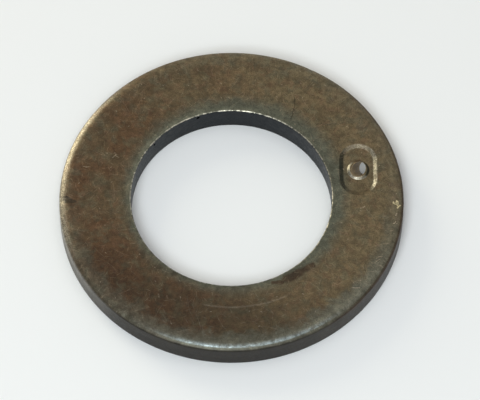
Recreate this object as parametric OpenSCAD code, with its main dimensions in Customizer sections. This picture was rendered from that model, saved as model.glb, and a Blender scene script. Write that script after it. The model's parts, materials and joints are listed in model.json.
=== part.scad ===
/* [Ring] */
// Outside diameter of the washer
outer_d = 72; // [70:1:80]
// Diameter of the bolt hole
bore_d = 42; // [38:1:44]
// Thickness between the two faces
thickness = 6; // [5:0.5:8]

/* [Edges] */
// Radius of the wide, shallow roll round the outside of the top face
roll_r = 4; // [3:0.5:6]
// How far in from the outside the roll starts
roll_w = 2.25; // [1:0.25:2.5]
// Radius of the tight corner between the roll and the outside wall
corner_r = 0.5; // [0.2:0.1:0.8]
// Radius of the edge round the outside of the underside
foot_r = 0.3; // [0.1:0.1:0.6]
// Radius of the broken edge at each end of the bolt hole
bore_edge_r = 0.25; // [0.1:0.05:0.6]

/* [Recess] */
// Distance from the washer's axis to the middle of the recess
recess_reach = 27.4; // [26.5:0.1:28.5]
// Direction of the recess, in degrees from +X towards +Y
recess_angle = 14; // [0:1:360]
// Length of the recess over its two round ends
recess_l = 12.4; // [11:0.2:14]
// Width of the recess at the top face
recess_w = 8; // [7.6:0.2:8.6]
// Depth of the recess
recess_depth = 0.4; // [0.2:0.05:0.8]
// Width of the sloping wall all round the recess, seen from above
recess_slope = 0.9; // [0.3:0.1:1.2]

/* [Boss] */
// Diameter of the round boss in the recess, at its top
boss_d = 3.85; // [3.8:0.05:4.6]
// Width of the boss's sloping side, seen from above
boss_slope = 0.4; // [0.1:0.05:0.6]
// How far the top of the boss stays below the top face
boss_drop = 0.05; // [0:0.05:0.15]

/* [Slanting hole] */
// Diameter of the slanting hole through the boss
slant_d = 3; // [2:0.1:3]
// Lean of the slanting hole away from the washer's axis, in degrees
slant_lean = 37; // [0:1:37]
// Direction in which the hole's lower end leans, in degrees from +X towards +Y
slant_heading = 63.5; // [50:0.5:80]

/* [Hidden] */
$fn = 96;
outer_r = outer_d / 2;
bore_r = bore_d / 2;
// Centre of the roll's arc, which is level with the top face where it starts
roll_x = outer_r - roll_w;
roll_z = thickness - roll_r;
// The tight corner touches the roll's arc from inside and the outside wall
corner_x = outer_r - corner_r;
corner_z = roll_z + sqrt(pow(roll_r - corner_r, 2) - pow(corner_x - roll_x, 2));
// Where the two arcs meet, in line with both centres
meet_x = roll_x + (corner_x - roll_x) * roll_r / (roll_r - corner_r);
meet_z = roll_z + (corner_z - roll_z) * roll_r / (roll_r - corner_r);
// How far a cutting shape runs past the face that it cuts
past = 1;
boss_top = thickness - boss_drop;
recess_floor = thickness - recess_depth;
// Half the distance between the centres of the recess's round ends
recess_half = (recess_l - recess_w) / 2;
recess_top_r = recess_w / 2;
recess_floor_r = recess_top_r - recess_slope;
// The sloping wall keeps its slope on the way up past the top face
recess_over_r = recess_top_r + past * recess_slope / recess_depth;
// The slanting hole is long enough to leave both faces at its greatest lean
slant_l = 4 * thickness;

// The corner of a section at [x, z] that a round edge of radius r takes away.
// side_x and side_z are 1 or -1, and say which way the corner points.
module edge_waste(x, z, r, side_x, side_z) {
    translate([x, z])
        mirror([side_x < 0 ? 1 : 0, 0])
            mirror([0, side_z < 0 ? 1 : 0])
                difference() {
                    translate([-r, -r])
                        square([r + past, r + past]);
                    translate([-r, -r])
                        circle(r = r);
                }
}

// What the roll takes from the outer end of the section's top.
module roll_waste() {
    difference() {
        translate([roll_x, roll_z])
            square([roll_w + past, roll_r + past]);
        translate([roll_x, roll_z])
            circle(r = roll_r);
    }
}

// What the tight corner takes from the point between the roll and the outside wall.
module corner_waste() {
    difference() {
        polygon([
            [corner_x, corner_z],
            [outer_r + past, corner_z],
            [outer_r + past, thickness + past],
            [meet_x, thickness + past],
            [meet_x, meet_z]
        ]);
        translate([corner_x, corner_z])
            circle(r = corner_r);
    }
}

// Section of the ring, with the washer's axis at x = 0 and the underside at z = 0.
module ring_section() {
    difference() {
        translate([bore_r, 0])
            square([outer_r - bore_r, thickness]);
        roll_waste();
        corner_waste();
        edge_waste(outer_r, 0, foot_r, 1, -1);
        edge_waste(bore_r, thickness, bore_edge_r, -1, 1);
        edge_waste(bore_r, 0, bore_edge_r, -1, -1);
    }
}

module ring() {
    rotate_extrude()
        ring_section();
}

// Moves its children from the washer's axis to the middle of the recess.
module at_recess() {
    rotate([0, 0, recess_angle])
        translate([recess_reach, 0, 0])
            rotate([0, 0, -recess_angle])
                children();
}

// One round end of the recess: a cone that is wider towards the top.
module recess_end() {
    cylinder(
        h = recess_depth + past,
        r1 = recess_floor_r,
        r2 = recess_over_r
    );
}

// The straight stretch of the recess between its round ends, with the same slope.
module recess_straight() {
    translate([0, recess_half, 0])
        rotate([90, 0, 0])
            linear_extrude(height = 2 * recess_half)
                polygon([
                    [-recess_floor_r, 0],
                    [recess_floor_r, 0],
                    [recess_over_r, recess_depth + past],
                    [-recess_over_r, recess_depth + past]
                ]);
}

// The boss, from the recess's floor up to its own flat top.
module boss() {
    cylinder(
        h = boss_top - recess_floor,
        r1 = boss_d / 2 + boss_slope,
        r2 = boss_d / 2
    );
}

// What is cut from the top face: a shallow recess with round ends, less the boss.
module recess_waste() {
    translate([0, 0, recess_floor])
        difference() {
            union() {
                for (side = [-1, 1])
                    translate([0, side * recess_half, 0])
                        recess_end();
                recess_straight();
            }
            boss();
        }
}

// The slanting hole, on an axis through the middle of the boss's top.
module slant_waste() {
    translate([0, 0, boss_top])
        rotate([0, 0, slant_heading])
            rotate([0, -slant_lean, 0])
                cylinder(h = slant_l, d = slant_d, center = true);
}

// The whole washer: a ring with a recess, and a boss with a slanting hole in the recess.
module washer() {
    color([0.40, 0.33, 0.24])
        difference() {
            ring();
            at_recess() {
                recess_waste();
                slant_waste();
            }
        }
}

washer();
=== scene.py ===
import json
import math
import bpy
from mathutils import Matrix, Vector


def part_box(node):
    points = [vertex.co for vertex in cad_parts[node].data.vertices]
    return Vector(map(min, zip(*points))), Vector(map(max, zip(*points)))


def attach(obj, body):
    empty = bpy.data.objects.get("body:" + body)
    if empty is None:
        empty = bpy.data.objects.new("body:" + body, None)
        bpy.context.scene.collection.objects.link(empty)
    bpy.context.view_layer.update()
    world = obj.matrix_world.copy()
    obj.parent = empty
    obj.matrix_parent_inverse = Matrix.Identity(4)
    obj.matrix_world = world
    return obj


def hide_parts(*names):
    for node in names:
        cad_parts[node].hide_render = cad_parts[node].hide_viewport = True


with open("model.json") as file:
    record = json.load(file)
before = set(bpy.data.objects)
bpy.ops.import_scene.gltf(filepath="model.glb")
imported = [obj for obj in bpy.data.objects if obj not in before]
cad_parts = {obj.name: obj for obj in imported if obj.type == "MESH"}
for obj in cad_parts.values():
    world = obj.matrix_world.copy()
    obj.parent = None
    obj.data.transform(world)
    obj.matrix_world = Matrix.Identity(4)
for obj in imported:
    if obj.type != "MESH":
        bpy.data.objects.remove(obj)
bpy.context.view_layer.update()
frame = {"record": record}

from types import SimpleNamespace

import bpy
import bmesh
import numpy as np
from mathutils import Vector, noise

MM = 0.001
low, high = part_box("washer")
mounts = {m["name"]: m for m in frame["record"]["mounts"]}

# Sizes of the washer, in millimetres.
OUTER_R = (high.x - low.x) / 2 / MM
THICK = (high.z - low.z) / MM
BORE_R = mounts["bolt_hole"]["dims"]["r_mm"]
ROLL_R = 4.0
ROLL_W = 2.25
CORNER_R = 0.5
FOOT_R = 0.3
BORE_EDGE_R = 0.25

# The recess, its boss and the slanting hole, in millimetres.
RECESS_REACH = 27.4
RECESS_ANGLE = math.radians(14)
RECESS_X = RECESS_REACH * math.cos(RECESS_ANGLE)
RECESS_Y = RECESS_REACH * math.sin(RECESS_ANGLE)
RECESS_L = 12.4
RECESS_W = 8.0
RECESS_HALF = (RECESS_L - RECESS_W) / 2
RECESS_DEPTH = 0.4
RECESS_SLOPE = 0.9
BOSS_R = 1.925
BOSS_SLOPE = 0.4
BOSS_DROP = 0.05
SLANT_R = mounts["slanting_hole"]["dims"]["r_mm"]
SLANT_AT = Vector(mounts["slanting_hole"]["pos_m"])
SLANT_AXIS = Vector(mounts["slanting_hole"]["axis"])

# How far the real metal is from the plain shape, in millimetres.
EDGE_SAG = 0.12
TOP_DIP = 0.022
TOP_WAVE = 0.7

# Dents in the outer part of the top: where they are, and how wide and deep, in degrees and mm.
DENTS = [
    {"angle": 180.8, "reach": 34.0, "width": 0.7, "depth": 0.25},
    {"angle": 357.0, "reach": 35.0, "width": 0.5, "depth": 0.18},
    {"angle": 232.0, "reach": 35.4, "width": 0.8, "depth": 0.12},
    {"angle": 308.0, "reach": 35.5, "width": 0.9, "depth": 0.12},
    {"angle": 62.0, "reach": 35.6, "width": 0.6, "depth": 0.08},
]

# ---------------------------------------------------------------- shape


def soft_ramp(t, rounding=0.16):
    """0 below 0 and 1 above 1, with both corners rounded."""

    def bend(u):
        curve = (u + rounding) ** 2 / (4 * rounding)
        return np.where(u < -rounding, 0.0, np.where(u > rounding, u, curve))

    return bend(t) - bend(t - 1)


def wander(x, y, z, scale, seed):
    """Smooth noise from -1 to 1 at points in millimetres, with features about scale wide."""
    offset = Vector((seed * 13.7, seed * 7.3, seed * 3.1))
    points = np.stack(np.broadcast_arrays(x, y, z), -1).reshape(-1, 3) / scale
    values = [noise.noise(Vector(p) + offset) for p in points]
    return np.array(values).reshape(np.broadcast(x, y, z).shape)


def column_angles():
    """Angles of the columns, one a degree, and closer at the recess and the dents."""
    # The middle, the half width and the step of each closer stretch, in degrees.
    windows = [(math.degrees(RECESS_ANGLE) - 0.5, 14.0, 0.2)]
    windows += [(dent["angle"], 2.5, 0.25) for dent in DENTS]
    angles, angle = [], 0.0
    while angle < 360 - 1e-6:
        angles.append(angle)
        step = 1.0
        for centre, half, fine in windows:
            away = abs((angle - centre + 180) % 360 - 180)
            if away <= half:
                step = min(step, fine)
        angle += step
    return np.radians(np.array(angles))


def arc(centre_r, centre_z, radius, start, stop, steps):
    """Points of a section's rounded corner. Angles are in degrees from +r towards +z."""
    angles = np.radians(np.linspace(start, stop, steps + 1))
    return np.stack([centre_r + radius * np.cos(angles), centre_z + radius * np.sin(angles)], -1)


def upright(r, start, stop, steps):
    """Points on an upright wall of a section, without its ends."""
    z = np.linspace(start, stop, steps)[1:-1]
    return np.stack([np.full_like(z, r), z], -1)


def level(z, r):
    """Points on a level face of a section."""
    return np.stack([r, np.full_like(r, z)], -1)


def profile():
    """The ring's section as a closed loop of points (r, z) in millimetres."""
    step, fine_step, fine_from, fine_to = 0.4, 0.1, 22.6, 32.2
    start, stop = BORE_R + BORE_EDGE_R, OUTER_R - ROLL_W
    top = level(THICK, np.concatenate([
        np.arange(start + step, fine_from, step),
        np.arange(fine_from, fine_to, fine_step),
        np.arange(fine_to, stop - step / 2, step),
    ]))
    # The roll and the tight corner outside it are two arcs that meet in line with their centres.
    corner_dx = ROLL_W - CORNER_R
    corner_dz = math.sqrt((ROLL_R - CORNER_R) ** 2 - corner_dx ** 2)
    corner_z = THICK - ROLL_R + corner_dz
    meet = math.degrees(math.atan2(corner_dz, corner_dx))
    return np.concatenate([
        top,
        arc(stop, THICK - ROLL_R, ROLL_R, 90, meet, 8)[:-1],
        arc(OUTER_R - CORNER_R, corner_z, CORNER_R, meet, 0, 6),
        upright(OUTER_R, corner_z, FOOT_R, 9),
        arc(OUTER_R - FOOT_R, FOOT_R, FOOT_R, 0, -90, 5),
        level(0.0, np.linspace(OUTER_R - FOOT_R, start, 14)[1:-1]),
        arc(start, BORE_EDGE_R, BORE_EDGE_R, -90, -180, 4),
        upright(BORE_R, BORE_EDGE_R, THICK - BORE_EDGE_R, 9),
        arc(start, THICK - BORE_EDGE_R, BORE_EDGE_R, 180, 90, 5),
    ])


def recess_drop(x, y):
    """How far the recess takes the top face down at a point, with its boss left standing."""
    along = np.maximum(np.abs(y - RECESS_Y) - RECESS_HALF, 0)
    reach = np.hypot(x - RECESS_X, along)
    depth = RECESS_DEPTH * soft_ramp((RECESS_W / 2 - reach) / RECESS_SLOPE)
    from_boss = np.hypot(x - RECESS_X, y - RECESS_Y)
    boss = soft_ramp((BOSS_R + BOSS_SLOPE - from_boss) / BOSS_SLOPE)
    return depth * (1 - boss) + BOSS_DROP * boss


def ring_points():
    """The ring's vertices as an array of (columns, rows, 3), in millimetres."""
    section = profile()
    angles = column_angles()
    r = np.broadcast_to(section[:, 0], (len(angles), len(section))).copy()
    z = np.broadcast_to(section[:, 1], r.shape).copy()
    a = angles[:, None]
    ca, sa = np.cos(a), np.sin(a)
    # The rolled edge is a little lower in some places than in others.
    edge = np.clip((r - (OUTER_R - ROLL_W)) / ROLL_W, 0, 1) ** 2 * np.clip(z - THICK + 2, 0, 1)
    uneven = wander(20 * ca, 20 * sa, 0 * ca, 6, 1)
    z = z - edge * EDGE_SAG * (1 + uneven)
    # The top face isn't quite flat.
    on_top = np.clip((z - THICK + 1.2) / 0.4, 0, 1) * (r > BORE_R + 0.05)
    waves = wander(r * ca, r * sa, 0 * r, 9, 2) + 0.4 * wander(r * ca, r * sa, 0 * r, 3, 3)
    z = z - on_top * TOP_DIP * (1 + TOP_WAVE * waves)
    z = z - on_top * recess_drop(r * ca, r * sa)
    for dent in DENTS:
        away = np.radians((np.degrees(a) - dent["angle"] + 180) % 360 - 180) * OUTER_R
        across = (r - dent["reach"]) / (1.4 * dent["width"])
        along = away / dent["width"]
        hit = dent["depth"] * np.exp(-along ** 2 - across ** 2) * (z > THICK - 2)
        r, z = r - 0.4 * hit, z - hit
    return np.stack([r * ca, r * sa, z], -1)


def grid_mesh(name, points):
    """A closed mesh from an array of (columns, rows, 3) that joins up both ways round."""
    columns, rows = points.shape[:2]
    c, k = np.meshgrid(np.arange(columns), np.arange(rows), indexing="ij")
    c1, k1 = (c + 1) % columns, (k + 1) % rows
    quads = np.stack([c * rows + k, c * rows + k1, c1 * rows + k1, c1 * rows + k], -1)
    mesh = bpy.data.meshes.new(name)
    mesh.from_pydata((points.reshape(-1, 3) * MM).tolist(), [], quads.reshape(-1, 4).tolist())
    mesh.update()
    return mesh


def show(name, mesh):
    """A new object for a mesh, linked to the scene."""
    made = bpy.data.objects.new(name, mesh)
    bpy.context.scene.collection.objects.link(made)
    return made


def slant_cutter():
    """A rod along the slanting hole."""
    reach, sides = 12 * MM, 72
    mesh = bpy.data.meshes.new("slant_cutter")
    bm = bmesh.new()
    turn = SLANT_AXIS.to_track_quat("Z", "Y").to_matrix()
    rings = []
    for along in (-reach, 0.0, reach):
        ring = []
        for i in range(sides):
            angle = 2 * math.pi * i / sides
            flat = Vector((math.cos(angle), math.sin(angle), 0)) * SLANT_R * MM
            ring.append(bm.verts.new(SLANT_AT + turn @ (flat + Vector((0, 0, along)))))
        rings.append(ring)
    for lower, upper in zip(rings, rings[1:]):
        for i in range(sides):
            j = (i + 1) % sides
            bm.faces.new((lower[i], lower[j], upper[j], upper[i]))
    bm.faces.new(list(reversed(rings[0])))
    bm.faces.new(rings[-1])
    bm.to_mesh(mesh)
    bm.free()
    return show("slant_cutter", mesh)


def cut(target, cutter):
    """Takes the cutter out of the target's mesh, and removes the cutter."""
    modifier = target.modifiers.new("cut", "BOOLEAN")
    modifier.operation = "DIFFERENCE"
    modifier.object = cutter
    modifier.solver = "EXACT"
    depsgraph = bpy.context.evaluated_depsgraph_get()
    done = bpy.data.meshes.new_from_object(target.evaluated_get(depsgraph))
    target.modifiers.clear()
    target.data = done
    bpy.data.objects.remove(cutter)


# ---------------------------------------------------------------- nodes


class Nodes:
    """Short ways to add nodes to one material."""

    def __init__(self, material):
        self.tree = material.node_tree

    def add(self, kind, inputs=(), **settings):
        """A node with its settings made and its inputs fed."""
        node = self.tree.nodes.new(kind)
        for key, value in settings.items():
            setattr(node, key, value)
        for key, value in dict(inputs).items():
            self.feed(node.inputs[key], value)
        return node

    def feed(self, socket, value):
        """Links another node's output to a socket, or sets the socket to a fixed value."""
        if isinstance(value, bpy.types.NodeSocket):
            self.tree.links.new(value, socket)
        elif isinstance(value, tuple) and len(value) == 3 and socket.type == "RGBA":
            socket.default_value = (*value, 1.0)
        else:
            socket.default_value = value

    def math(self, operation, a, b=0.0, clamp=False):
        node = self.add("ShaderNodeMath", {0: a, 1: b}, operation=operation, use_clamp=clamp)
        return node.outputs[0]

    def times(self, first, *others):
        """The product of several numbers."""
        for other in others:
            first = self.math("MULTIPLY", first, other)
        return first

    def largest(self, first, *others):
        """The largest of several numbers."""
        for other in others:
            first = self.math("MAXIMUM", first, other)
        return first

    def band(self, value, low_in, high_in, low_out=0.0, high_out=1.0):
        """value taken from low_in..high_in to low_out..high_out, smoothly and held at the ends."""
        node = self.add(
            "ShaderNodeMapRange",
            {"Value": value, "From Min": low_in, "From Max": high_in,
             "To Min": low_out, "To Max": high_out},
            interpolation_type="SMOOTHSTEP",
        )
        return node.outputs["Result"]

    def fade(self, value, low_in, high_in):
        """1 up to low_in, and 0 from high_in on."""
        return self.band(value, low_in, high_in, 1.0, 0.0)

    def noise(self, vector, scale, detail=2.0, roughness=0.5, distortion=0.0):
        node = self.add(
            "ShaderNodeTexNoise",
            {"Vector": vector, "Scale": scale, "Detail": detail,
             "Roughness": roughness, "Distortion": distortion},
        )
        return node.outputs["Fac"]

    def mix(self, share, a, b):
        """Colour a where share is 0, and colour b where it is 1."""
        node = self.add("ShaderNodeMix", data_type="RGBA")
        self.feed(node.inputs[0], share)
        self.feed(node.inputs[6], a)
        self.feed(node.inputs[7], b)
        return node.outputs[2]

    def mix_value(self, share, a, b):
        """Number a where share is 0, and number b where it is 1."""
        node = self.add("ShaderNodeMix", {0: share, 2: a, 3: b}, data_type="FLOAT")
        return node.outputs[0]

    def vector(self, operation, a, b=(0.0, 0.0, 0.0), output="Vector"):
        node = self.add("ShaderNodeVectorMath", operation=operation)
        self.feed(node.inputs[0], a)
        self.feed(node.inputs["Scale" if operation == "SCALE" else 1], b)
        return node.outputs[output]

    def length(self, vector):
        return self.vector("LENGTH", vector, output="Value")

    def join(self, x, y):
        """A vector in the plane of the face."""
        return self.add("ShaderNodeCombineXYZ", {0: x, 1: y, 2: 0.0}).outputs[0]

    def split(self, vector):
        return self.add("ShaderNodeSeparateXYZ", {0: vector}).outputs


# ---------------------------------------------------------------- marks

# Long dark marks on the top face: both ends as (angle in degrees, mm from the axis), and width.
HAIRS = [
    ((60.9, 27.8), (58.3, 25.4), 0.17),
    ((58.3, 25.4), (56.2, 22.8), 0.17),
    ((44.5, 25.2), (40.0, 27.4), 0.13),
    ((40.0, 27.4), (36.8, 29.9), 0.11),
]
# Short pale marks of one width: both ends in the same form, and how strong each is.
FLECK_WIDTH = 0.17
FLECKS = [
    ((166.7, 31.9), (166.0, 30.6), 0.30),
    ((156.3, 26.9), (157.8, 25.6), 0.28),
    ((158.6, 26.7), (156.6, 26.2), 0.28),
    ((354.2, 27.0), (355.0, 27.8), 0.34),
    ((236.7, 27.4), (238.0, 28.2), 0.14),
    ((240.1, 26.9), (241.2, 27.4), 0.11),
    ((352.6, 34.5), (353.5, 34.8), 0.50),
    ((349.2, 34.3), (350.2, 34.6), 0.45),
    ((346.1, 34.1), (346.8, 34.4), 0.30),
    ((334.0, 33.4), (335.4, 34.2), 0.28),
    ((332.9, 33.7), (334.0, 34.3), 0.24),
    ((331.6, 33.2), (332.6, 33.9), 0.16),
    ((318.9, 32.9), (320.7, 33.9), 0.34),
    ((322.6, 32.9), (323.4, 33.3), 0.20),
]
# A fresh nick in the rim: both ends of each stroke in the same form, and its width.
NICK = [
    ((357.6, 33.9), (356.9, 34.5), 0.32),
    ((358.2, 34.6), (356.4, 34.6), 0.30),
    ((356.9, 35.1), (355.6, 34.6), 0.30),
]
# Dark brown smears beside the bore, in the same form as the nick.
SMEARS = [
    ((292.8, 22.2), (297.5, 22.8), 0.65),
    ((300.2, 22.6), (307.5, 22.9), 1.35),
    ((307.5, 22.7), (315.5, 23.3), 0.90),
]
# A gouge in the rim: both ends of each stroke as (x, y) in mm, and its width.
GOUGE = [
    ((-34.5, 0.3), (-33.3, -0.7), 0.45),
    ((-34.5, -0.5), (-32.6, -1.0), 0.45),
    ((-34.5, -1.1), (-33.2, -1.0), 0.40),
]
# Round stains beside the bore, as (angle, mm from the axis, radius).
STAINS = [(216.5, 22.9, 1.3), (227.5, 22.6, 1.2), (237.0, 21.7, 0.9)]
# Pits in the bore's wall, painted black as the shade inside them, as (angle, height, radius).
PITS = [(109.6, THICK - 0.8, 0.55), (107.5, 0.5, 0.45), (140.5, THICK - 1.0, 0.45)]
# A faint scratch round part of the top face: its radius in mm, and its ends in degrees.
ARC_R = 26.1
ARC_STARTS, ARC_ENDS = (-106, -100), (-68, -60)


def polar(angle, reach, z=0.0):
    return (reach * math.cos(math.radians(angle)), reach * math.sin(math.radians(angle)), z)


def square(x, y):
    return (x, y, 0.0)


def stroke(n, at, start, stop, width):
    """1 on a line between two points, and 0 off it."""
    run = Vector(stop) - Vector(start)
    reach = n.vector("SUBTRACT", at, tuple(start))
    share = n.vector("DOT_PRODUCT", reach, tuple(run / run.length_squared), "Value")
    held = n.math("ADD", share, 0.0, clamp=True)
    along = n.vector("SCALE", tuple(run), held)
    off = n.length(n.vector("SUBTRACT", reach, along))
    return n.fade(off, width * 0.4, width)


def strokes(n, at, ends, place=polar):
    """1 on any of several lines, each with two ends and a width."""
    return n.largest(*[stroke(n, at, place(*a), place(*b), width) for a, b, width in ends])


def spot(n, at, centre, radius):
    """1 in the middle of a round spot, falling to 0 at its radius."""
    off = n.length(n.vector("SUBTRACT", at, centre))
    return n.fade(off, radius * 0.45, radius)


def scratches(n, flat, cell, length, width, share, seed, curl=0.0):
    """Short scratches in random directions, at most one to a cell of the face."""
    moved = n.vector("ADD", flat, (17.3 * seed, 9.1 * seed, 0.0))
    cells = n.add("ShaderNodeTexVoronoi", {"Vector": moved, "Scale": 1 / cell},
                  voronoi_dimensions="2D")
    draw = n.add("ShaderNodeSeparateColor", {0: cells.outputs["Color"]}).outputs
    offset = n.vector("SUBTRACT", moved, cells.outputs["Position"])
    turned = n.add("ShaderNodeVectorRotate",
                   {"Vector": offset, "Angle": n.times(draw[0], 2 * math.pi)},
                   rotation_type="Z_AXIS")
    along, across, _ = n.split(turned.outputs[0])
    bend = n.times(n.times(along, along), n.times(n.math("SUBTRACT", draw[2], 0.5), curl))
    off = n.math("ABSOLUTE", n.math("ADD", across, bend))
    mark = n.times(n.fade(off, width * 0.3, width),
                   n.fade(n.math("ABSOLUTE", along), length * 0.2, length * 0.5))
    return n.times(mark, n.math("LESS_THAN", draw[1], share))


# ---------------------------------------------------------------- material

# Colours as linear red, green and blue, each darker one before its paler one.
RED_BROWN, DULL_BROWN = (0.100, 0.054, 0.025), (0.100, 0.067, 0.034)
# A paler brown, painted light on the right of the face.
LIT_RIGHT_BROWN = (0.160, 0.122, 0.064)
OLIVE_BROWN = (0.104, 0.095, 0.057)
RUST_BROWN = (0.134, 0.074, 0.042)
INNER_OLIVE = ((0.078, 0.082, 0.056), (0.114, 0.119, 0.088))
OUTER_OLIVE = ((0.086, 0.083, 0.058), (0.128, 0.125, 0.094))
STAIN = (0.030, 0.022, 0.012)
SMEAR = (0.046, 0.025, 0.012)
DARK_MARK = (0.026, 0.022, 0.014)
# Painted shade, for the sides of the recess and the boss that face away from the light.
PAINTED_SHADE = (0.022, 0.024, 0.015)
LIGHT_MARK = (0.42, 0.26, 0.12)
# The outer wall's near-black is partly the wall's own dark colour and partly painted shade.
OUTER_WALL = ((0.012, 0.009, 0.006), (0.034, 0.028, 0.020))
# A pale grey, painted reflection on the left of the outer wall.
LEFT_WALL_REFLECTION = (0.17, 0.155, 0.132)
BORE_WALL = ((0.002, 0.004, 0.006), (0.007, 0.010, 0.013))
NEAR_STEEL, FAR_STEEL = (0.34, 0.40, 0.41), (0.45, 0.42, 0.34)
RED_EDGE = (0.036, 0.019, 0.011)
NICK_CREAM = (0.62, 0.52, 0.30)
# The slanting hole's wall: partly barer drilled metal, partly painted light against the shade
# inside the hole.
HOLE_BARE_AND_LIT = (0.42, 0.31, 0.17)
PIT_SHADE_BLACK = (0.002, 0.002, 0.002)


def find_places(n):
    """Coordinates in millimetres, noises, and masks for where things are on the washer."""
    coords = n.add("ShaderNodeTexCoord").outputs["Object"]
    at = n.vector("SCALE", coords, 1 / MM)
    x, y, z = n.split(at)
    flat = n.join(x, y)
    r = n.length(flat)
    p = SimpleNamespace(at=at, x=x, y=y, z=z, flat=flat, r=r)

    p.cloud = n.noise(at, 0.10, 3.0, 0.6)
    p.patch = n.noise(at, 0.35, 5.0, 0.62, 0.4)
    p.tint = n.noise(n.vector("ADD", at, (31.0, 12.0, 0.0)), 0.5, 5.0, 0.65, 0.5)
    p.blotch = n.noise(n.vector("ADD", at, (11.0, 43.0, 0.0)), 0.6, 4.0, 0.6, 0.3)
    p.mottle = n.noise(at, 1.3, 5.0, 0.68)
    p.grain = n.noise(at, 4.5, 3.0, 0.7)

    # Painted light: the face is painted paler towards the right, where more light falls.
    p.right_side = n.band(n.math("ADD", x, n.times(y, 0.4)), -30.0, 34.0)
    # Painted shade: how far a point is towards the near-left, where the face is painted darker.
    p.near_left = n.math("ADD", n.times(y, -0.94), n.times(x, -0.34))
    # The olive rings round the bore and along the near rim have ragged borders.
    p.patch_off = n.math("SUBTRACT", p.patch, 0.5)
    ragged = n.math("ADD", r, n.times(p.patch_off, 5.5))
    lean = n.math("ADD", n.times(x, 0.035), n.times(y, 0.03))
    p.inner = n.fade(n.math("SUBTRACT", ragged, lean), 21.4, 25.0)
    p.outer = n.times(n.band(ragged, 31.0, 34.0), n.band(y, -22.0, 5.0, 0.95, 0.25),
                      n.band(x, -27.0, -6.0, 0.50, 1.0))

    p.on_top = n.band(z, THICK - 0.9, THICK - 0.6)
    p.outer_wall = n.times(n.band(r, OUTER_R - 0.6, OUTER_R - 0.1),
                           n.fade(z, THICK - 0.95, THICK - 0.55))
    p.bore_wall = n.fade(r, BORE_R + 0.03, BORE_R + 0.12)
    p.walls = n.largest(p.outer_wall, p.bore_wall)

    hole_offset = n.vector("SUBTRACT", at, tuple(SLANT_AT / MM))
    hole_r = n.length(n.vector("CROSS_PRODUCT", hole_offset, tuple(SLANT_AXIS)))
    p.in_slant = n.fade(hole_r, SLANT_R + 0.01, SLANT_R + 0.04)
    return p


def find_recess(n, p):
    """Masks for where the recess's and the boss's sloping sides are bare, and where they are
    painted dark as shade.
    """
    off_x = n.math("SUBTRACT", p.x, RECESS_X)
    off_y = n.math("SUBTRACT", p.y, RECESS_Y)
    past_y = n.largest(n.math("SUBTRACT", n.math("ABSOLUTE", off_y), RECESS_HALF), 0.0)
    recess_r = n.length(n.join(off_x, past_y))
    boss_r = n.length(n.join(off_x, off_y))
    slope_in, slope_out = RECESS_W / 2 - RECESS_SLOPE, RECESS_W / 2
    slope = n.times(n.band(recess_r, slope_in - 0.05, slope_in + 0.1),
                    n.fade(recess_r, slope_out - 0.1, slope_out + 0.05))
    flank = n.times(n.band(boss_r, BOSS_R - 0.25, BOSS_R),
                    n.fade(boss_r, BOSS_R + 0.3, BOSS_R + 0.5))
    # The recess's sides are barest away from the bore, and the boss's towards it.
    bared = n.largest(
        n.times(slope, n.band(off_x, 2.2, 3.3), n.band(p.mottle, 0.38, 0.58, 0.45, 1.0)),
        n.times(slope, n.band(off_y, 3.6, 5.4, 0.0, 0.30)),
        n.times(flank, n.fade(off_x, -1.5, -0.8)),
        n.times(flank, n.band(off_y, -1.9, -1.2, 0.8, 0.0)),
    )
    # Painted shade: the recess's side towards the bore and the boss's side away from it face away
    # from the light.
    painted_shade_sides = n.largest(n.times(slope, n.fade(off_x, -3.2, -2.4)),
                       n.times(flank, n.band(off_x, 1.0, 1.6)))
    return n.times(bared, p.on_top), n.times(painted_shade_sides, p.on_top)


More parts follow.
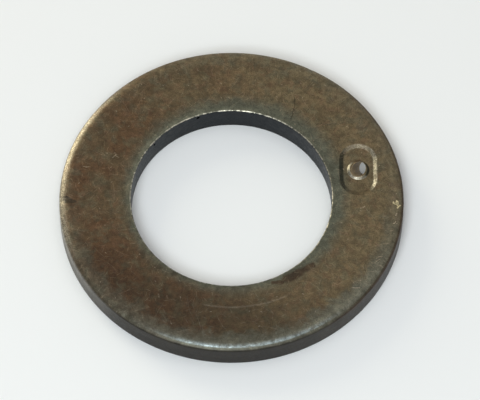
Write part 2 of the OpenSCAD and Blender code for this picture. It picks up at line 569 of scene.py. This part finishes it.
def find_marks(n, p):
    """Masks for the marks. All but the pits are on the top face only."""
    wobble = n.add("ShaderNodeTexNoise", {"Vector": p.at, "Scale": 0.8, "Detail": 2.0})
    shake = n.vector("SUBTRACT", wobble.outputs["Color"], (0.5, 0.5, 0.5))
    shake = n.vector("MULTIPLY", n.vector("SCALE", shake, 0.9), (1.0, 1.0, 0.0))
    shaken = n.vector("ADD", p.flat, shake)
    m = SimpleNamespace()
    m.hairs = n.times(strokes(n, shaken, HAIRS), p.on_top)
    m.nick = n.times(strokes(n, shaken, NICK), p.on_top, n.band(p.grain, 0.38, 0.52, 0.25, 1.0))
    m.smears = n.times(strokes(n, shaken, SMEARS), p.on_top)
    stains = n.largest(*[spot(n, shaken, polar(a, d), size) for a, d, size in STAINS])
    m.stains = n.times(stains, p.on_top)
    m.pits = n.largest(*[spot(n, p.at, polar(a, BORE_R, h), size) for a, h, size in PITS])

    flecks = n.largest(*[
        n.times(stroke(n, shaken, polar(*a), polar(*b), FLECK_WIDTH), strong)
        for a, b, strong in FLECKS
    ])
    flecks = n.times(flecks, n.band(p.grain, 0.35, 0.55))
    arc_r = n.math("ADD", ARC_R, n.times(p.patch_off, 0.4))
    arc_off = n.math("ABSOLUTE", n.math("SUBTRACT", p.r, arc_r))
    angle = n.math("ARCTAN2", p.y, p.x)
    arc_line = n.times(n.fade(arc_off, 0.06, 0.34),
                       n.band(angle, *(math.radians(a) for a in ARC_STARTS)),
                       n.fade(angle, *(math.radians(a) for a in ARC_ENDS)))

    # Cell, length, width, share of the cells that have one, seed and curl.
    fine = n.times(scratches(n, p.flat, 1.3, 1.8, 0.05, 0.5, 1, 0.8), p.on_top)
    long = n.times(scratches(n, p.flat, 4.5, 6.0, 0.06, 0.5, 2, 0.15), p.on_top)
    chips = n.times(scratches(n, p.flat, 3.4, 0.5, 0.10, 0.25, 3), p.on_top)
    cuts = n.times(scratches(n, p.flat, 2.6, 3.6, 0.075, 0.5, 4, 0.3), p.on_top)
    m.scratched = n.largest(fine, long, cuts)
    light = n.largest(n.times(fine, 0.13), n.times(long, 0.10), n.times(chips, 0.3), flecks,
                      n.times(arc_line, 0.10))
    m.light = n.times(light, p.on_top)
    gouge = strokes(n, shaken, GOUGE, square)
    dark = n.largest(n.times(cuts, 0.35), n.times(m.hairs, 0.55), n.times(gouge, 0.75))
    m.dark = n.times(dark, p.on_top)
    return m


def film_colour(n, p, m, painted_shade_sides):
    """The colour of the faces and walls where they aren't bare, with painted light and shade in
    it.
    """
    brown = n.mix(n.band(p.cloud, 0.42, 0.58), RED_BROWN, DULL_BROWN)
    # Painted light: a paler brown towards the right.
    brown = n.mix(n.times(p.right_side, 0.8), brown, LIT_RIGHT_BROWN)
    brown = n.mix(n.band(p.patch, 0.47, 0.62, 0.0, 0.5), brown, OLIVE_BROWN)
    brown = n.mix(n.band(p.tint, 0.50, 0.64, 0.0, 0.38), brown, RUST_BROWN)
    # Painted shade: the brown is darker towards the near-left.
    brown = n.vector("SCALE", brown, n.band(p.near_left, 15.0, 27.0, 1.0, 0.72))
    face = n.mix(n.times(p.outer, 0.92), brown, n.mix(p.patch, *OUTER_OLIVE))
    face = n.mix(n.times(p.inner, 0.92), face, n.mix(p.patch, *INNER_OLIVE))
    face = n.mix(n.times(m.stains, 0.55), face, STAIN)
    face = n.mix(n.times(m.smears, 0.80), face, SMEAR)
    face = n.mix(m.dark, face, DARK_MARK)
    # Painted shade on the recess's and the boss's sides that face away from the light.
    face = n.mix(n.times(painted_shade_sides, 0.75), face, PAINTED_SHADE)
    face = n.mix(m.light, face, LIGHT_MARK)
    # Painted reflection: the outer wall is painted paler on the left, most of all higher up.
    pale = n.times(n.band(p.x, -35.0, -21.0, 0.95, 0.0), n.band(p.z, 1.5, 4.5, 0.6, 1.0))
    # Elsewhere the outer wall is near-black, partly its own colour and partly painted shade.
    outer_wall = n.mix(pale, n.mix(p.mottle, *OUTER_WALL), LEFT_WALL_REFLECTION)
    # Painted shade: the bore's wall is painted darker towards its foot, against the light thrown
    # up by the floor.
    bore_wall = n.vector("SCALE", n.mix(p.mottle, *BORE_WALL), n.band(p.z, 0.2, 1.6, 0.25, 1.0))
    return n.mix(p.bore_wall, n.mix(p.outer_wall, face, outer_wall), bore_wall)


def find_bare(n, p, m, bared):
    """A mask for bare metal, on the worn edges, the sloping sides and the pale marks."""
    bore_edge = n.times(n.fade(p.r, BORE_R + 0.16, BORE_R + 0.30),
                        n.band(p.z, THICK - 0.22, THICK - 0.10),
                        n.band(p.mottle, 0.42, 0.60, 0.12, 1.0))
    left_wear = n.times(n.band(p.x, -31.0, -20.0, 0.60, 0.0), n.band(p.y, -17.0, -5.0),
                        n.band(p.z, THICK - 1.5, THICK - 0.9),
                        n.band(p.grain, 0.40, 0.60, 0.25, 1.0))
    near_wear = n.times(n.band(p.y, -34.0, -26.0, 0.78, 0.05),
                        n.band(p.x, -19.0, -4.0, 0.1, 1.0),
                        n.fade(p.r, OUTER_R - 0.8, OUTER_R - 0.5),
                        n.band(p.mottle, 0.35, 0.6, 0.35, 1.0))
    rim_wear = n.times(n.band(p.r, OUTER_R - 1.7, OUTER_R - 0.6),
                       n.largest(left_wear, near_wear))
    sides = n.times(bared, n.band(p.grain, 0.35, 0.60, 0.45, 1.0))
    bare = n.largest(bore_edge, rim_wear, sides, m.light)
    return n.times(bare, n.math("SUBTRACT", 1.0, p.in_slant))


def find_shade(n, p):
    """How much paler or darker the colour is from place to place, with painted shade towards the
    near-left and a painted highlight by the far edge of the bore.
    """
    rim_side = n.largest(n.band(p.y, -8.0, 8.0), n.band(p.x, 6.0, 22.0, 0.0, 0.8),
                         n.band(p.x, -29.0, -20.0, 0.75, 0.0))
    pale_rim = n.times(n.band(p.r, OUTER_R - 3.2, OUTER_R - 1.2), rim_side)
    # Paler beside the far edge of the bore: partly a paler grey-green tone, partly a painted
    # highlight that widens the edge's glint.
    lip_tone_and_sheen = n.times(n.fade(p.r, BORE_R + 0.4, BORE_R + 1.7), n.fade(p.x, 2.0, 9.0),
                       n.band(p.y, -8.0, 0.0), p.on_top)
    return n.times(
        n.band(p.grain, 0.3, 0.7, 0.74, 1.26),
        n.band(p.mottle, 0.3, 0.7, 0.80, 1.20),
        n.band(p.blotch, 0.32, 0.68, 0.80, 1.20),
        # Painted shade, darker towards the near-left.
        n.band(p.near_left, 17.0, 29.0, 1.0, 0.84),
        n.band(pale_rim, 0.0, 1.0, 1.0, 1.35),
        # Partly a painted highlight by the far edge of the bore.
        n.band(lip_tone_and_sheen, 0.0, 1.0, 1.0, 1.38),
    )


def find_height(n, p, m):
    """The height of the fine relief."""
    height = n.math("ADD", n.times(p.grain, 0.6), p.mottle)
    for depth, mask in ((0.25, m.scratched), (0.8, m.hairs), (3.0, m.pits)):
        height = n.math("SUBTRACT", height, n.times(mask, depth))
    return height


def worn_steel():
    """Steel under a brown film, greener round the bore, with bare edges and dark walls, and with
    painted light and shade in its colour.
    """
    material = bpy.data.materials.new("worn_steel")
    material.use_nodes = True
    material.node_tree.nodes.clear()
    n = Nodes(material)
    p = find_places(n)
    m = find_marks(n, p)
    bared, painted_shade_sides = find_recess(n, p)
    bare = find_bare(n, p, m, bared)

    colour = film_colour(n, p, m, painted_shade_sides)
    steel = n.mix(n.band(p.y, -30.0, -15.0), NEAR_STEEL, FAR_STEEL)
    colour = n.mix(n.times(bare, 0.9), colour, steel)
    red_edge = n.times(n.band(p.x, 17.0, 28.0, 0.0, 0.65),
                       n.band(p.r, OUTER_R - 0.6, OUTER_R - 0.3),
                       n.band(p.z, THICK - 2.2, THICK - 1.2))
    colour = n.mix(red_edge, colour, RED_EDGE)
    colour = n.mix(m.nick, colour, NICK_CREAM)
    # The slanting hole's wall is painted pale brown: partly barer drilled metal, partly painted
    # light against the shade inside the hole.
    colour = n.mix(p.in_slant, colour, HOLE_BARE_AND_LIT)
    # Painted shade: the pits are painted black, and lose their shine below, for the shade inside
    # them.
    colour = n.mix(m.pits, colour, PIT_SHADE_BLACK)
    colour = n.vector("SCALE", colour, find_shade(n, p))

    film_roughness = n.band(p.mottle, 0.3, 0.7, 0.36, 0.52)
    film_metallic = n.band(n.largest(p.walls, p.in_slant), 0.0, 1.0, 0.65, 0.0)
    gloss = n.band(p.walls, 0.0, 1.0, 0.5, 0.22)
    bump = n.add("ShaderNodeBump",
                 {"Height": find_height(n, p, m), "Strength": 0.6, "Distance": 0.06 * MM})
    shader = n.add("ShaderNodeBsdfPrincipled", {
        "Base Color": colour,
        "Roughness": n.mix_value(bare, film_roughness, 0.32),
        "Metallic": n.mix_value(bare, film_metallic, 1.0),
        "Specular IOR Level": n.mix_value(m.pits, gloss, 0.0),
        "Normal": bump.outputs[0],
    })
    n.add("ShaderNodeOutputMaterial", {"Surface": shader.outputs[0]})
    return material


def floor_paint():
    """Plain pale floor."""
    material = bpy.data.materials.new("floor_paint")
    material.use_nodes = True
    shader = material.node_tree.nodes["Principled BSDF"]
    shader.inputs["Base Color"].default_value = (0.86, 0.86, 0.85, 1.0)
    shader.inputs["Roughness"].default_value = 0.8
    return material


# ---------------------------------------------------------------- stage


def make_floor():
    """A wide floor, just clear of the washer's underside."""
    half, gap = 3.0, 0.02 * MM
    mesh = bpy.data.meshes.new("floor")
    corners = [(-half, -half, 0), (half, -half, 0), (half, half, 0), (-half, half, 0)]
    mesh.from_pydata(corners, [], [(0, 1, 2, 3)])
    floor = show("floor", mesh)
    floor.location.z = low.z - gap
    floor.data.materials.append(floor_paint())


def area_light(name, azimuth, elevation, distance, size, power, colour):
    """A soft light that faces the washer. Azimuth is in degrees from +X towards +Y."""
    a, e = math.radians(azimuth), math.radians(elevation)
    way = Vector((math.cos(a) * math.cos(e), math.sin(a) * math.cos(e), math.sin(e)))
    data = bpy.data.lights.new(name, "AREA")
    data.shape = "RECTANGLE"
    data.size, data.size_y = size
    data.energy = power
    data.color = colour
    light = bpy.data.objects.new(name, data)
    light.location = way * distance
    light.rotation_mode = "QUATERNION"
    light.rotation_quaternion = way.to_track_quat("Z", "Y")
    bpy.context.scene.collection.objects.link(light)


def make_lights():
    """Three soft lights and an even white background."""
    area_light("cool_front", 256, 54, 0.9, (0.42, 0.38), 5.0, (0.87, 0.95, 1.0))
    area_light("warm_left", 131, 20, 0.8, (0.30, 0.46), 2.4, (1.0, 0.94, 0.72))
    area_light("top", 60, 84, 1.0, (0.7, 0.7), 1.9, (1.0, 0.99, 0.97))
    world = bpy.data.worlds.new("studio")
    world.use_nodes = True
    background = world.node_tree.nodes["Background"]
    background.inputs["Color"].default_value = (1, 1, 1, 1)
    background.inputs["Strength"].default_value = 0.30
    bpy.context.scene.world = world


def make_camera():
    """A long lens from the front, about 60 degrees above the floor."""
    elevation, roll = math.radians(60.2), math.radians(0.19)
    distance, lens, sensor = 0.835, 300.0, 36.0
    right_of, above = 0.00178, -0.00064
    back = Vector((0, -math.cos(elevation), math.sin(elevation)))
    up = Vector((0, math.sin(elevation), math.cos(elevation)))
    aim = Vector((right_of, 0, high.z)) + up * above
    data = bpy.data.cameras.new("camera")
    data.lens = lens
    data.sensor_width = sensor
    camera = bpy.data.objects.new("camera", data)
    camera.location = aim + back * distance
    camera.rotation_euler = back.to_track_quat("Z", "Y").to_euler()
    camera.rotation_euler.rotate_axis("Z", -roll)
    bpy.context.scene.collection.objects.link(camera)
    bpy.context.scene.camera = camera


# ---------------------------------------------------------------- scene

make_camera()
make_lights()
make_floor()
bpy.context.scene.view_settings.view_transform = "Standard"

SHARP_FROM = math.radians(40)
washer = show("washer_body", grid_mesh("washer_body", ring_points()))
cut(washer, slant_cutter())
for polygon in washer.data.polygons:
    polygon.use_smooth = True
washer.data.set_sharp_from_angle(angle=SHARP_FROM)
washer.data.materials.clear()
washer.data.materials.append(worn_steel())
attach(washer, "root")
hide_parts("washer")
